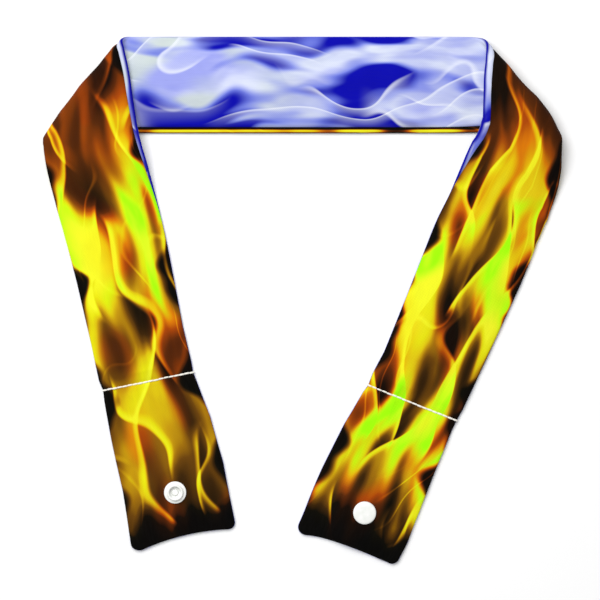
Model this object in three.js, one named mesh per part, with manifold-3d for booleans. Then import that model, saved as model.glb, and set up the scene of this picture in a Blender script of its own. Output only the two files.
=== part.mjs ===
// Cooling neck wrap: a tube sewn from two long cotton strips, one printed with flames and one with smoke.
// It lies flat, the smoke side of the middle stretch up, and each arm folds over it with its flame side up.
// Millimetres, degrees in the named angles, +Z up. The middle runs along X and the arms run towards -Y.
import * as THREE from "three";
import { mergeVertices } from "three/addons/utils/BufferGeometryUtils.js";
import Module from "manifold-3d";

const wasm = await Module();
wasm.setup();
const { degToRad, lerp, smoothstep } = THREE.MathUtils;

// The band
const WRAP_WIDTH = 52;
const MIDDLE_LENGTH = 227;
const CLOTH = 1;
const FILLED_THICKNESS = 4.6;
const TAB_HOLLOW = 0.4;
const SEAM_SHIFT = 3.8;
const SEAM_GAP = 0.3;
const CORNER_RADIUS = 4.5;

// The left arm
const LEFT_FILLED_LENGTH = 169.1;
const LEFT_TAB_LENGTH = 88.3;
const LEFT_FOLD_ANGLE = 51.3;
const LEFT_FOLD_GAP = 0.6;
const LEFT_END_DIP = 2.8;
const LEFT_END_SKEW = 2.1;
const LEFT_SNAP_TO_END = 26.7;
const LEFT_SNAP_OFFSET = 0.3;

// The right arm
const RIGHT_FILLED_LENGTH = 190.9;
const RIGHT_TAB_LENGTH = 86.6;
const RIGHT_FOLD_ANGLE = 49.5;
const RIGHT_FOLD_GAP = 2.6;
const RIGHT_END_DIP = 1.9;
const RIGHT_END_SKEW = -1.5;
const RIGHT_SNAP_TO_END = 22.1;
const RIGHT_SNAP_OFFSET = -0.1;

// An arm lies clear over the middle, then comes down to the table within this length past the middle's edge
const LAYER_GAP = 0.6;
const DROP_LENGTH = 34;
const FOLD_SETTLE_LENGTH = 26;
const PINCH_LENGTH = 7;

// The snaps
const FIT_GAP = 0.3;
const CAP_DIAMETER = 12.4;
const CAP_THICKNESS = 1.5;
const PIN_DIAMETER = 2;
const PIN_HEAD_DIAMETER = 3.4;
const PIN_HEAD_THICKNESS = 0.5;
const SOCKET_DIAMETER = 12;
const SOCKET_HEIGHT = 2.6;
const SOCKET_FLANGE = 1;
const SOCKET_WALL = 1.1;
const STUD_DIAMETER = 10.7;
const STUD_FLANGE = 1;
const STUD_DISH = 0.5;
const KNOB_DIAMETER = 5.8;
const KNOB_HEIGHT = 2.2;
const KNOB_WALL = 0.7;
const SNAP_PLAY = 0.3;
const SNAP_MARGIN = 1;
const SNAP_RISE_LENGTH = 11;

// Worked out from these
const TAB_THICKNESS = 2 * CLOTH + TAB_HOLLOW;
const HALF_WIDTH = WRAP_WIDTH / 2;
const HALF_MIDDLE = MIDDLE_LENGTH / 2;
const NOSE = TAB_THICKNESS / 2;
const NOSE_ARC = NOSE * Math.PI / 2;
const LEAST_SEAM_SHIFT = SEAM_GAP * 2;
const SNAP_SEAT = CAP_DIAMETER / 2 + SNAP_MARGIN;
const SNAP_PLATEAU = Math.max(SNAP_SEAT, HALF_WIDTH / 2);

// Sections along an arm. place is 0 at the fold, 1 at the row of stitches and 2 at the end. inner and outer
// are shares of half the band's width, puff of the filling and seam of the seam's shift. turn is in degrees.
const LEFT_SECTIONS = [
  { place: 0, inner: 1, outer: 1, puff: 1, seam: 0.75, turn: 0 },
  { place: 0.04, inner: 1, outer: 1.01, puff: 1, seam: 0.7, turn: -5 },
  { place: 0.18, inner: 1, outer: 1.02, puff: 1, seam: 0.5, turn: -3.9 },
  { place: 0.3, inner: 1.005, outer: 1.02, puff: 1, seam: 0.25, turn: 1.4 },
  { place: 0.42, inner: 1.04, outer: 1.005, puff: 1, seam: 0, turn: 2.3 },
  { place: 0.6, inner: 1.035, outer: 0.975, puff: 1, seam: 0, turn: -0.3 },
  { place: 0.85, inner: 0.995, outer: 0.95, puff: 0.95, seam: 0, turn: -0.7 },
  { place: 0.965, inner: 1.015, outer: 0.95, puff: 0.7, seam: 0, turn: -0.6 },
  { place: 1, inner: 1.005, outer: 0.905, puff: 0, seam: 0, turn: -1 },
  { place: 1.06, inner: 1.035, outer: 0.93, puff: 0.12, seam: 0, turn: 0.4 },
  { place: 1.3, inner: 1.135, outer: 0.98, puff: 0.08, seam: 0, turn: 1.9 },
  { place: 1.6, inner: 1.145, outer: 1.03, puff: 0, seam: 0, turn: 3.6 },
  { place: 2, inner: 1.005, outer: 1.21, puff: 0, seam: 0, turn: 4.6 },
];
const RIGHT_SECTIONS = [
  { place: 0, inner: 1, outer: 1, puff: 1, seam: 0.9, turn: 0 },
  { place: 0.04, inner: 0.98, outer: 0.94, puff: 1, seam: 1, turn: -5 },
  { place: 0.1, inner: 0.93, outer: 0.95, puff: 1, seam: 0.95, turn: -4 },
  { place: 0.16, inner: 0.92, outer: 1.06, puff: 1, seam: 0.9, turn: 2 },
  { place: 0.25, inner: 0.9, outer: 1.17, puff: 1, seam: 0.5, turn: 11.3 },
  { place: 0.35, inner: 1.04, outer: 1.08, puff: 1, seam: 0, turn: 12.4 },
  { place: 0.5, inner: 1.055, outer: 1.085, puff: 1, seam: 0, turn: 13.3 },
  { place: 0.7, inner: 1.02, outer: 1.045, puff: 1, seam: 0, turn: 13.7 },
  { place: 0.9, inner: 0.99, outer: 1.005, puff: 0.95, seam: 0, turn: 14.3 },
  { place: 0.965, inner: 1.035, outer: 0.985, puff: 0.7, seam: 0, turn: 13.4 },
  { place: 1, inner: 1.03, outer: 0.95, puff: 0, seam: 0, turn: 12.9 },
  { place: 1.06, inner: 1.07, outer: 0.94, puff: 0.12, seam: 0, turn: 15 },
  { place: 1.3, inner: 1.145, outer: 0.98, puff: 0.08, seam: 0, turn: 16.7 },
  { place: 1.6, inner: 1.17, outer: 1.05, puff: 0, seam: 0, turn: 15.9 },
  { place: 2, inner: 1.175, outer: 1.085, puff: 0, seam: 0, turn: 7.9 },
];

const leftArm = {
  side: -1,
  filled: LEFT_FILLED_LENGTH,
  tab: LEFT_TAB_LENGTH,
  angle: degToRad(LEFT_FOLD_ANGLE),
  foldLift: FILLED_THICKNESS + LEFT_FOLD_GAP,
  dip: LEFT_END_DIP,
  skew: LEFT_END_SKEW,
  snapPlace: LEFT_FILLED_LENGTH + LEFT_TAB_LENGTH - LEFT_SNAP_TO_END,
  snapOffset: LEFT_SNAP_OFFSET,
  snapLift: CAP_THICKNESS + FIT_GAP,
  sections: LEFT_SECTIONS,
};
const rightArm = {
  side: 1,
  filled: RIGHT_FILLED_LENGTH,
  tab: RIGHT_TAB_LENGTH,
  angle: degToRad(RIGHT_FOLD_ANGLE),
  foldLift: FILLED_THICKNESS + RIGHT_FOLD_GAP,
  dip: RIGHT_END_DIP,
  skew: RIGHT_END_SKEW,
  snapPlace: RIGHT_FILLED_LENGTH + RIGHT_TAB_LENGTH - RIGHT_SNAP_TO_END,
  snapOffset: RIGHT_SNAP_OFFSET,
  snapLift: STUD_FLANGE + KNOB_HEIGHT + FIT_GAP,
  sections: RIGHT_SECTIONS,
};

// The table's row at a distance along the arm, with every column worked out between its two neighbours
function sectionAt(arm, along) {
  const inTab = (along - arm.filled) / arm.tab;
  const place = along < arm.filled ? Math.max(along / arm.filled, 0) : Math.min(1 + inTab, 2);
  const rows = arm.sections;
  const next = Math.max(1, rows.findIndex((row) => row.place >= place));
  const low = rows[next - 1];
  const high = rows[next];
  const share = (place - low.place) / (high.place - low.place);
  const column = (name) => lerp(low[name], high[name], share);
  const middleSeam = along < 0 ? smoothstep(-along, 0, HALF_MIDDLE / 2) : 0;
  return {
    inner: HALF_WIDTH * column("inner") * cornerShare(arm, along),
    outer: HALF_WIDTH * column("outer") * cornerShare(arm, along),
    thickness: TAB_THICKNESS + (FILLED_THICKNESS - TAB_THICKNESS) * column("puff"),
    seam: Math.max(LEAST_SEAM_SHIFT, SEAM_SHIFT * lerp(column("seam"), 1, middleSeam)),
    turn: degToRad(column("turn")),
  };
}

// The two corners of the end are rounded: how much of the half width is left near the end
function cornerShare(arm, along) {
  const toEnd = arm.filled + arm.tab - along;
  const missing = Math.min(Math.max(CORNER_RADIUS - toEnd, 0), CORNER_RADIUS);
  const cut = CORNER_RADIUS - Math.sqrt(CORNER_RADIUS ** 2 - missing ** 2);
  return 1 - cut / HALF_WIDTH;
}

// Centre line of an arm before folding, walked in short steps so that it follows the table's turns
const WALK_STEP = 1;
function walkArm(arm) {
  const points = [{ x: HALF_MIDDLE, y: 0, turn: 0 }];
  const steps = Math.ceil((arm.filled + arm.tab + WRAP_WIDTH) / WALK_STEP);
  for (let step = 1; step <= steps; step += 1) {
    const turn = sectionAt(arm, step * WALK_STEP).turn;
    const last = points[step - 1];
    const x = last.x + Math.cos(turn) * WALK_STEP;
    const y = last.y + Math.sin(turn) * WALK_STEP;
    points.push({ x, y, turn });
  }
  return points;
}
leftArm.walk = walkArm(leftArm);
rightArm.walk = walkArm(rightArm);

// Where a point of the band lies before the arm is folded, with x running outwards from the middle's centre
function unfolded(arm, along, across) {
  if (along <= 0) {
    return { x: HALF_MIDDLE + along, y: across };
  }
  const step = Math.min(Math.floor(along / WALK_STEP), arm.walk.length - 2);
  const rest = along / WALK_STEP - step;
  const low = arm.walk[step];
  const high = arm.walk[step + 1];
  const turn = lerp(low.turn, high.turn, rest);
  const x = lerp(low.x, high.x, rest) - Math.sin(turn) * across;
  const y = lerp(low.y, high.y, rest) + Math.cos(turn) * across;
  return { x, y };
}

// How high the underside of a folded arm lies: over the middle, then down to the table past its lower edge
function armLift(arm, back, y) {
  const settled = FILLED_THICKNESS + LAYER_GAP;
  const over = lerp(arm.foldLift, settled, smoothstep(back, 0, FOLD_SETTLE_LENGTH));
  const start = HALF_WIDTH + Math.PI * arm.foldLift / 2 * Math.cos(arm.angle);
  return over * (1 - smoothstep(-y, start, start + DROP_LENGTH));
}

// How far a tab is held up round the snap half on its underside
function snapRise(arm, along, across) {
  const away = Math.hypot(along - arm.snapPlace, across - arm.snapOffset);
  return arm.snapLift * (1 - smoothstep(away, SNAP_PLATEAU, SNAP_PLATEAU + SNAP_RISE_LENGTH));
}

// Local thickness of the tube: a low crown between two round edges
function thicknessAt(section, across) {
  const reach = (across > 0 ? section.inner : section.outer) - NOSE;
  const share = Math.min(Math.abs(across) / reach, 1);
  return TAB_THICKNESS + (section.thickness - TAB_THICKNESS) * (1 - share ** 2);
}

// The place of a point of the tube. offset is its distance from the middle of the wall, more than 0 on the
// smoke side. Past the fold line the band rolls round a half cylinder and comes back above itself.
function layPoint(arm, section, along, across, offset) {
  const flat = unfolded(arm, along, across);
  const sine = Math.sin(arm.angle);
  const cosine = Math.cos(arm.angle);
  const out = flat.x - HALF_MIDDLE;
  const past = out * sine + flat.y * cosine;
  const down = out * cosine - flat.y * sine;
  const radius = arm.foldLift / 2;
  const half = thicknessAt(section, across) / 2;
  if (past <= 0) {
    return new THREE.Vector3(arm.side * flat.x, flat.y, half + offset);
  }
  const roll = Math.min(past / radius, Math.PI);
  const back = Math.max(past - Math.PI * radius, 0);
  const reach = (radius - offset) * Math.sin(roll) - back;
  const x = HALF_MIDDLE + down * cosine + reach * sine;
  const y = -down * sine + reach * cosine;
  if (back === 0) {
    const rolled = half + radius * (1 - Math.cos(roll)) + offset * Math.cos(roll);
    return new THREE.Vector3(arm.side * x, y, rolled);
  }
  const height = armLift(arm, back, y) + snapRise(arm, along, across);
  return new THREE.Vector3(arm.side * x, y, height + half - offset);
}

// The columns of a panel's section: a tip of the tube (1 is the flame panel's far edge) and the distance
// from that tip along the outline, positive where the panel wraps round onto the other face.
const FACE_SHARES = [0.8, 0.4];
function panelColumns(section) {
  const near = section.outer - NOSE;
  const far = section.inner - NOSE;
  const wrapped = section.seam - SEAM_GAP / 2;
  const stopped = section.seam + SEAM_GAP / 2;
  const turnBack = NOSE_ARC + (1 - FACE_SHARES[0]) * far;
  return [
    { tip: -1, distance: wrapped },
    { tip: -1, distance: wrapped / 2 },
    { tip: -1, distance: 0 },
    { tip: -1, distance: -NOSE_ARC / 2 },
    { tip: -1, distance: -NOSE_ARC },
    { tip: -1, distance: -NOSE_ARC - (1 - FACE_SHARES[0]) * near },
    { tip: -1, distance: -NOSE_ARC - (1 - FACE_SHARES[1]) * near },
    { tip: 1, distance: -NOSE_ARC - (1 - FACE_SHARES[1]) * far },
    { tip: 1, distance: -turnBack },
    { tip: 1, distance: -lerp(turnBack, stopped, 0.5) },
    { tip: 1, distance: -lerp(turnBack, stopped, 0.82) },
    { tip: 1, distance: -stopped },
  ];
}

// A point of the tube's outline, or of the same outline moved in by the cloth's thickness
function outlinePoint(section, tip, distance, inset) {
  const reach = tip > 0 ? section.inner : section.outer;
  const face = Math.sign(distance);
  const run = Math.abs(distance);
  if (run < NOSE_ARC) {
    const angle = run / NOSE;
    const across = reach - NOSE + (NOSE - inset) * Math.cos(angle);
    return { across: tip * across, offset: face * (NOSE - inset) * Math.sin(angle) };
  }
  const across = tip * (reach - NOSE - (run - NOSE_ARC));
  return { across, offset: face * (thicknessAt(section, across) / 2 - inset) };
}

// Points round the cloth of one panel at a station. The smoke panel is the flame panel turned half round.
function panelRing(arm, station, turnedRound) {
  const middle = sectionAt(arm, station.along);
  const turned = { ...middle, inner: middle.outer, outer: middle.inner };
  const flip = turnedRound ? -1 : 1;
  const place = (column, inset) => {
    const point = outlinePoint(turnedRound ? turned : middle, column.tip, column.distance, inset);
    const across = flip * point.across;
    const along = station.along - station.skew * across + endShape(arm, station.along, across);
    return layPoint(arm, middle, along, across, flip * point.offset);
  };
  const columns = panelColumns(turnedRound ? turned : middle);
  const outside = columns.map((column) => place(column, 0));
  const inside = columns.map((column) => place(column, CLOTH)).reverse();
  return [...outside, ...inside];
}

// The end of a tab bows in between its corners and may stand a little askew
function endShape(arm, along, across) {
  const amount = smoothstep(along, arm.filled + arm.tab - HALF_WIDTH, arm.filled + arm.tab);
  const share = across / HALF_WIDTH;
  return amount * (arm.skew * share - arm.dip * Math.max(1 - share ** 2, 0));
}

// Stations along one half of the tube, from the middle outwards. Near the fold they follow the fold line.
const MIDDLE_STEPS = 6;
const FOLD_STEPS = 8;
const FOLD_MARGIN = 4;
const DROP_STEPS = 7;
const ARM_STEPS = 8;
const TAB_STEPS = 4;
function stationsOf(arm) {
  const rolled = Math.PI * arm.foldLift / 2 / Math.sin(arm.angle);
  const lean = 1 / Math.tan(arm.angle);
  const dropEnd = rolled + FOLD_MARGIN + HALF_WIDTH + DROP_LENGTH;
  const end = arm.filled + arm.tab;
  const places = [];
  const run = (from, to, steps) => {
    for (let step = 0; step < steps; step += 1) {
      places.push(lerp(from, to, step / steps));
    }
  };
  run(-HALF_MIDDLE, -FOLD_MARGIN, MIDDLE_STEPS);
  run(-FOLD_MARGIN, 0, 1);
  run(0, rolled, FOLD_STEPS);
  run(rolled, rolled + FOLD_MARGIN, 1);
  run(rolled + FOLD_MARGIN, dropEnd, DROP_STEPS);
  run(dropEnd, arm.filled - PINCH_LENGTH, ARM_STEPS);
  run(arm.filled - PINCH_LENGTH, arm.filled + PINCH_LENGTH, 4);
  run(arm.filled + PINCH_LENGTH, arm.snapPlace - SNAP_PLATEAU - SNAP_RISE_LENGTH, TAB_STEPS);
  run(arm.snapPlace - SNAP_PLATEAU - SNAP_RISE_LENGTH, arm.snapPlace - SNAP_PLATEAU, 2);
  run(arm.snapPlace - SNAP_PLATEAU, arm.snapPlace - SNAP_SEAT, 1);
  run(arm.snapPlace - SNAP_SEAT, arm.snapPlace + SNAP_SEAT, 1);
  run(arm.snapPlace + SNAP_SEAT, arm.snapPlace + SNAP_PLATEAU, 1);
  run(arm.snapPlace + SNAP_PLATEAU, end - CORNER_RADIUS, 2);
  run(end - CORNER_RADIUS, end, 3);
  places.push(end);
  const skewIn = (along) => smoothstep(along, -HALF_MIDDLE, -FOLD_MARGIN * 2);
  const skewOut = (along) => 1 - smoothstep(along, rolled + FOLD_MARGIN * 2, arm.filled - PINCH_LENGTH * 2);
  return places.map((along) => ({ along, skew: lean * (along < 0 ? skewIn(along) : skewOut(along)) }));
}

// A closed mesh through the rings of one panel, from the left end to the right end
function panelGeometry(turnedRound) {
  const left = stationsOf(leftArm).map((station) => panelRing(leftArm, station, turnedRound)).reverse();
  const right = stationsOf(rightArm).map((station) => panelRing(rightArm, station, turnedRound)).slice(1);
  const rings = [...left, ...right];
  const count = rings[0].length;
  const columns = count / 2;
  const index = [];
  for (let ring = 0; ring < rings.length - 1; ring += 1) {
    for (let point = 0; point < count; point += 1) {
      const a = ring * count + point;
      const b = ring * count + (point + 1) % count;
      const inside = point >= columns && point < count - 1;
      if (inside === turnedRound) {
        index.push(a, b, a + count, b, b + count, a + count);
      } else {
        index.push(a, b, b + count, a, b + count, a + count);
      }
    }
  }
  const last = (rings.length - 1) * count;
  for (let column = 0; column < columns - 1; column += 1) {
    const inner = count - 1 - column;
    index.push(column, inner, column + 1, inner, inner - 1, column + 1);
    index.push(last + column, last + column + 1, last + inner);
    index.push(last + inner, last + column + 1, last + inner - 1);
  }
  const geometry = new THREE.BufferGeometry();
  const flat = rings.flat().flatMap((point) => [point.x, point.y, point.z]);
  geometry.setAttribute("position", new THREE.Float32BufferAttribute(flat, 3));
  geometry.setIndex(index);
  return geometry;
}

// A manifold solid of a closed geometry, and back
function toSolid(geometry) {
  const plain = geometry.clone();
  plain.deleteAttribute("normal");
  plain.deleteAttribute("uv");
  const merged = mergeVertices(plain);
  const vertProperties = new Float32Array(merged.attributes.position.array);
  const triVerts = new Uint32Array(merged.index.array);
  return new wasm.Manifold(new wasm.Mesh({ numProp: 3, vertProperties, triVerts }));
}
function toGeometry(solid) {
  const mesh = solid.getMesh();
  const geometry = new THREE.BufferGeometry();
  geometry.setAttribute("position", new THREE.Float32BufferAttribute(mesh.vertProperties, 3));
  geometry.setIndex([...mesh.triVerts]);
  geometry.computeVertexNormals();
  return geometry;
}

// Where a snap sits on its tab
function snapCentre(arm) {
  return layPoint(arm, sectionAt(arm, arm.snapPlace), arm.snapPlace, arm.snapOffset, 0);
}

// The hole that a snap's pin makes through both panels
const PIN_SIDES = 12;
function pinHole(arm) {
  const radius = PIN_DIAMETER / 2 + FIT_GAP;
  const centre = snapCentre(arm);
  const cutter = new THREE.CylinderGeometry(radius, radius, TAB_THICKNESS * 2, PIN_SIDES);
  cutter.rotateX(Math.PI / 2);
  cutter.translate(centre.x, centre.y, centre.z);
  return toSolid(cutter);
}

// Snap halves are turned parts: a profile of radius and height from the cloth outwards, spun round Z
const SNAP_SIDES = 20;
function turned(profile) {
  const points = profile.map(([radius, height]) => new THREE.Vector2(radius, height));
  const geometry = new THREE.LatheGeometry(points, SNAP_SIDES);
  geometry.rotateX(Math.PI / 2);
  geometry.deleteAttribute("normal");
  geometry.deleteAttribute("uv");
  return mergeVertices(geometry);
}

// The cap: a low dome with a rounded rim, and a pin whose end is pressed into a head inside the other half.
// Heights run from the cloth's outer face away from the cloth, and the pin runs the other way.
function capProfile(floorThickness) {
  const radius = CAP_DIAMETER / 2;
  const pin = PIN_DIAMETER / 2;
  const head = PIN_HEAD_DIAMETER / 2;
  const under = -TAB_THICKNESS - floorThickness - FIT_GAP * 3;
  const tip = under - PIN_HEAD_THICKNESS;
  return [
    [0, tip],
    [head * 0.8, tip],
    [head, tip + PIN_HEAD_THICKNESS / 2],
    [head, under],
    [pin, under],
    [pin, 0],
    [radius * 0.94, 0],
    [radius, CAP_THICKNESS * 0.3],
    [radius * 0.97, CAP_THICKNESS * 0.55],
    [radius * 0.84, CAP_THICKNESS * 0.82],
    [radius * 0.5, CAP_THICKNESS * 0.97],
    [0, CAP_THICKNESS],
  ];
}

// The socket: a flange on the cloth, a collar round the well for the knob, and a floor with the pin's hole
function socketProfile() {
  const radius = SOCKET_DIAMETER / 2;
  const well = KNOB_DIAMETER / 2 + SNAP_PLAY;
  const collar = well + SOCKET_WALL;
  const bore = PIN_DIAMETER / 2 + FIT_GAP;
  const floor = SOCKET_HEIGHT - KNOB_HEIGHT;
  return [
    [bore, 0],
    [radius * 0.95, 0],
    [radius, SOCKET_FLANGE * 0.45],
    [radius * 0.96, SOCKET_FLANGE * 0.9],
    [collar * 1.1, SOCKET_FLANGE],
    [collar, SOCKET_FLANGE * 1.3],
    [collar, SOCKET_HEIGHT - SOCKET_WALL * 0.2],
    [collar - SOCKET_WALL * 0.2, SOCKET_HEIGHT],
    [well + SOCKET_WALL * 0.2, SOCKET_HEIGHT],
    [well, SOCKET_HEIGHT - SOCKET_WALL * 0.2],
    [well, floor],
    [bore, floor],
    [bore, 0],
  ];
}

// The stud: a flange on the cloth and a waisted knob, hollow where the pin's head is pressed
function studProfile() {
  const radius = STUD_DIAMETER / 2;
  const knob = KNOB_DIAMETER / 2;
  const hollow = knob - KNOB_WALL;
  const bore = PIN_DIAMETER / 2 + FIT_GAP;
  const top = STUD_FLANGE + KNOB_HEIGHT;
  return [
    [bore, 0],
    [radius * 0.95, 0],
    [radius, STUD_FLANGE * 0.4],
    [radius * 0.95, STUD_FLANGE * 0.8],
    [knob, STUD_FLANGE],
    [knob * 0.9, STUD_FLANGE + KNOB_HEIGHT * 0.3],
    [knob, STUD_FLANGE + KNOB_HEIGHT * 0.7],
    [knob * 0.9, top],
    [hollow, top],
    [hollow, STUD_DISH],
    [bore, STUD_DISH],
    [bore, 0],
  ];
}

// Materials in the colours of the cloth and the resin
const flameCloth = new THREE.MeshStandardMaterial({ color: 0xb8741a, roughness: 0.85, metalness: 0 });
const smokeCloth = new THREE.MeshStandardMaterial({ color: 0xaab0e0, roughness: 0.85, metalness: 0 });
const whiteResin = new THREE.MeshStandardMaterial({ color: 0xf2f2ee, roughness: 0.35, metalness: 0 });

// The two panels, with the pins' holes
const wrap = new THREE.Group();
function addPiece(name, geometry, material) {
  const piece = new THREE.Mesh(geometry, material);
  piece.name = name;
  wrap.add(piece);
  return piece;
}
function panel(turnedRound) {
  const cloth = toSolid(panelGeometry(turnedRound));
  return toGeometry(cloth.subtract(pinHole(leftArm)).subtract(pinHole(rightArm)));
}
addPiece("flame_panel", panel(false), flameCloth);
addPiece("smoke_panel", panel(true), smokeCloth);

// The snaps. A half on the upper face stands on the cloth, and one on the underside is turned over.
function seatSnap(piece, arm, above) {
  const centre = snapCentre(arm);
  const away = TAB_THICKNESS / 2 + FIT_GAP;
  piece.position.set(centre.x, centre.y, centre.z + (above ? away : -away));
  piece.rotation.x = above ? 0 : Math.PI;
}
const socketFloor = SOCKET_HEIGHT - KNOB_HEIGHT;
seatSnap(addPiece("left_snap_socket", turned(socketProfile()), whiteResin), leftArm, true);
seatSnap(addPiece("left_snap_cap", turned(capProfile(socketFloor)), whiteResin), leftArm, false);
seatSnap(addPiece("right_snap_cap", turned(capProfile(STUD_DISH)), whiteResin), rightArm, true);
seatSnap(addPiece("right_snap_stud", turned(studProfile()), whiteResin), rightArm, false);

// The origin is at the bottom centre of the whole piece
wrap.updateMatrixWorld(true);
const box = new THREE.Box3().setFromObject(wrap);
const centre = box.getCenter(new THREE.Vector3());
wrap.position.set(-centre.x, -centre.y, -box.min.z);
wrap.updateMatrixWorld(true);

export default wrap;
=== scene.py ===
import math

import bmesh
import bpy
import numpy as np
from mathutils import Matrix, Vector, noise


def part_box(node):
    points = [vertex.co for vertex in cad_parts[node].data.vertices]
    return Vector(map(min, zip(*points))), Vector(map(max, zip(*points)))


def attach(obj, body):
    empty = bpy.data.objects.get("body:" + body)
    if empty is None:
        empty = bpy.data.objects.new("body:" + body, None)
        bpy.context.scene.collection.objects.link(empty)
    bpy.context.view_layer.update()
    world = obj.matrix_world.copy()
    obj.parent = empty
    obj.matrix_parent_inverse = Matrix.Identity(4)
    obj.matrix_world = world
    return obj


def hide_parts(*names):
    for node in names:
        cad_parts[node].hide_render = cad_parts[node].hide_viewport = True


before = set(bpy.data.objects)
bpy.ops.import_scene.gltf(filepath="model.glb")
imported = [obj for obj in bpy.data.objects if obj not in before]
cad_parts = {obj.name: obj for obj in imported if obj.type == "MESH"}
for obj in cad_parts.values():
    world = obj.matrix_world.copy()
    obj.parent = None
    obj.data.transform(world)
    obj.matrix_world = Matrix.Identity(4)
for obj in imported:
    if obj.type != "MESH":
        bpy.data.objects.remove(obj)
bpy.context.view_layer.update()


# The camera looks straight down on the wrap, as in the photograph: 324 mm of table across the picture,
# through a long lens so that the folds aren't spread.
PICTURE_WIDTH = 0.324
PICTURE_CENTRE = (-0.0025, 0.0006)
CAMERA_LENS = 200.0
CAMERA_SENSOR = 36.0
camera_data = bpy.data.cameras.new("camera")
camera_data.lens = CAMERA_LENS
camera_data.sensor_width = CAMERA_SENSOR
camera = bpy.data.objects.new("camera", camera_data)
camera.location = (*PICTURE_CENTRE, PICTURE_WIDTH * CAMERA_LENS / CAMERA_SENSOR)
bpy.context.scene.collection.objects.link(camera)
bpy.context.scene.camera = camera


# The flame panel: the outer strip of printed cotton, the underside of the middle stretch and the upper side
# of both arms. It is sewn to the smoke panel along both long edges, inside out, and the tube is turned and
# filled with a little crystal between two rows of stitches. Here is how the tube lies.
WRAP_WIDTH = 0.052
MIDDLE_LENGTH = 0.227
FILLED_THICKNESS = 0.0046
TAB_THICKNESS = 0.0024
SEAM_SHIFT = 0.0038
LEAST_SEAM_SHIFT = 0.0006
CORNER_RADIUS = 0.0045
LAYER_GAP = 0.0006
DROP_LENGTH = 0.034
FOLD_SETTLE_LENGTH = 0.026
SNAP_PLATEAU = 0.013
SNAP_RISE_LENGTH = 0.011
HALF_WIDTH = WRAP_WIDTH / 2
HALF_MIDDLE = MIDDLE_LENGTH / 2
NOSE = TAB_THICKNESS / 2
NOSE_ARC = NOSE * math.pi / 2

# Sections along an arm: place is 0 at the fold, 1 at the row of stitches and 2 at the end. Inner and outer
# are shares of half the width, puff is the share of the filling, seam the share of the seam's shift, and
# turn is in degrees.
SECTION_COLUMNS = ("place", "inner", "outer", "puff", "seam", "turn")
LEFT_SECTIONS = (
    (0, 1, 1, 1, 1.1, 0),
    (0.04, 1, 1.01, 1, 1.1, -5),
    (0.18, 1, 1.02, 1, 1, -3.9),
    (0.3, 1.005, 1.02, 1, 0.85, 1.4),
    (0.42, 1.04, 1.005, 1, 0.65, 2.3),
    (0.6, 1.035, 0.975, 1, 0, -0.3),
    (0.85, 0.995, 0.95, 0.95, 0, -0.7),
    (0.965, 1.015, 0.95, 0.7, 0, -0.6),
    (1, 1.005, 0.905, 0, 0, -1),
    (1.06, 1.035, 0.93, 0.12, 0, 0.4),
    (1.3, 1.135, 0.98, 0.08, 0, 1.9),
    (1.6, 1.145, 1.03, 0, 0, 3.6),
    (2, 1.005, 1.21, 0, 0, 4.6),
)
RIGHT_SECTIONS = (
    (0, 1, 1, 1, 1.4, 0),
    (0.04, 0.98, 0.94, 1, 1.5, -5),
    (0.1, 0.93, 0.95, 1, 1.4, -4),
    (0.16, 0.92, 1.06, 1, 1.3, 2),
    (0.25, 0.9, 1.17, 1, 1.35, 11.3),
    (0.35, 1.04, 1.08, 1, 1.2, 12.4),
    (0.5, 1.055, 1.085, 1, 0, 13.3),
    (0.7, 1.02, 1.045, 1, 0, 13.7),
    (0.9, 0.99, 1.005, 0.95, 0, 14.3),
    (0.965, 1.035, 0.985, 0.7, 0, 13.4),
    (1, 1.03, 0.95, 0, 0, 12.9),
    (1.06, 1.07, 0.94, 0.12, 0, 15),
    (1.3, 1.145, 0.98, 0.08, 0, 16.7),
    (1.6, 1.17, 1.05, 0, 0, 15.9),
    (2, 1.175, 1.085, 0, 0, 7.9),
)
left_arm = {
    "side": -1, "filled": 0.1691, "tab": 0.0883, "angle": math.radians(51.3), "fold_lift": 0.0052,
    "dip": 0.0028, "skew": 0.0021, "snap_place": 0.2307, "snap_offset": 0.0003, "snap_lift": 0.0018,
    "sections": LEFT_SECTIONS,
}
right_arm = {
    "side": 1, "filled": 0.1909, "tab": 0.0866, "angle": math.radians(49.5), "fold_lift": 0.0072,
    "dip": 0.0019, "skew": -0.0015, "snap_place": 0.2554, "snap_offset": -0.0001, "snap_lift": 0.0035,
    "sections": RIGHT_SECTIONS,
}


def smooth_rise(value, low, high):
    share = np.clip((value - low) / (high - low), 0, 1)
    return share * share * (3 - 2 * share)


def table_column(arm, name, along):
    rows = np.array(arm["sections"], float)
    in_tab = 1 + (along - arm["filled"]) / arm["tab"]
    place = np.where(along < arm["filled"], along / arm["filled"], in_tab)
    return np.interp(np.clip(place, 0, 2), rows[:, 0], rows[:, SECTION_COLUMNS.index(name)])


def corner_share(arm, along):
    missing = np.clip(CORNER_RADIUS - (arm["filled"] + arm["tab"] - along), 0, CORNER_RADIUS)
    return 1 - (CORNER_RADIUS - np.sqrt(CORNER_RADIUS**2 - missing**2)) / HALF_WIDTH


def section_at(arm, along):
    middle_seam = smooth_rise(-along, 0, HALF_MIDDLE / 2)
    seam = table_column(arm, "seam", along)
    return {
        "inner": HALF_WIDTH * table_column(arm, "inner", along) * corner_share(arm, along),
        "outer": HALF_WIDTH * table_column(arm, "outer", along) * corner_share(arm, along),
        "thickness": TAB_THICKNESS + (FILLED_THICKNESS - TAB_THICKNESS) * table_column(arm, "puff", along),
        "seam": np.maximum(LEAST_SEAM_SHIFT, SEAM_SHIFT * (seam + (1 - seam) * middle_seam)),
    }


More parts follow.
